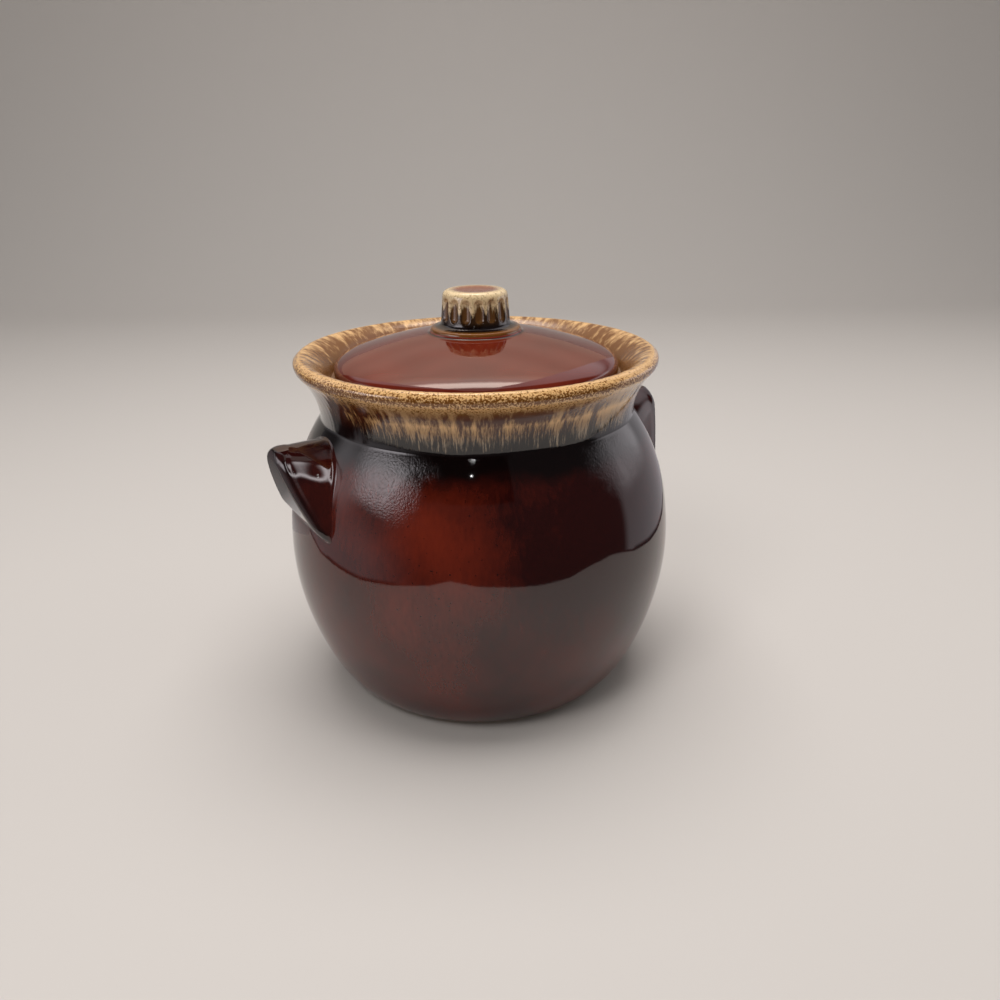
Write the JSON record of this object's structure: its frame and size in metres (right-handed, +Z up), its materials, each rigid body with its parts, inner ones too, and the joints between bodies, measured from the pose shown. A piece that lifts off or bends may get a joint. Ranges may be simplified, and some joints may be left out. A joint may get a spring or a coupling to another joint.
{
  "type": "bean pot",
  "caption": "Round-bellied glazed stoneware bean pot with a flared collar, solid shoulder lugs and a domed drop-in lid lifted by a fluted knob.",
  "frame": {"origin": "centre of the foot, on the surface that the pot stands on", "axes": "+Z up along the pot's axis; the two lugs lie along X, lug_handle_right on +X and lug_handle_left on -X"},
  "size_m": [0.1828, 0.166, 0.1711],
  "materials": {
    "pot_glaze": "glossy red-brown glaze with a tan speckled lip",
    "lug_glaze": "glossy red-brown glaze",
    "lid_glaze": "glossy red-brown glaze",
    "knob_glaze": "glossy tan glaze breaking to amber-brown in the flutes"
  },
  "bodies": {
    "pot": {"pot_body": "pot_glaze", "lug_handle_left": "lug_glaze", "lug_handle_right": "lug_glaze"},
    "lid": {"lid": "lid_glaze", "lid_knob": "knob_glaze"}
  },
  "joints": [
    {"name": "lid_lift", "type": "slide", "parent": "pot", "child": "lid", "axis": [0, 0, 1], "range_m": [0, 0.06]}
  ]
}
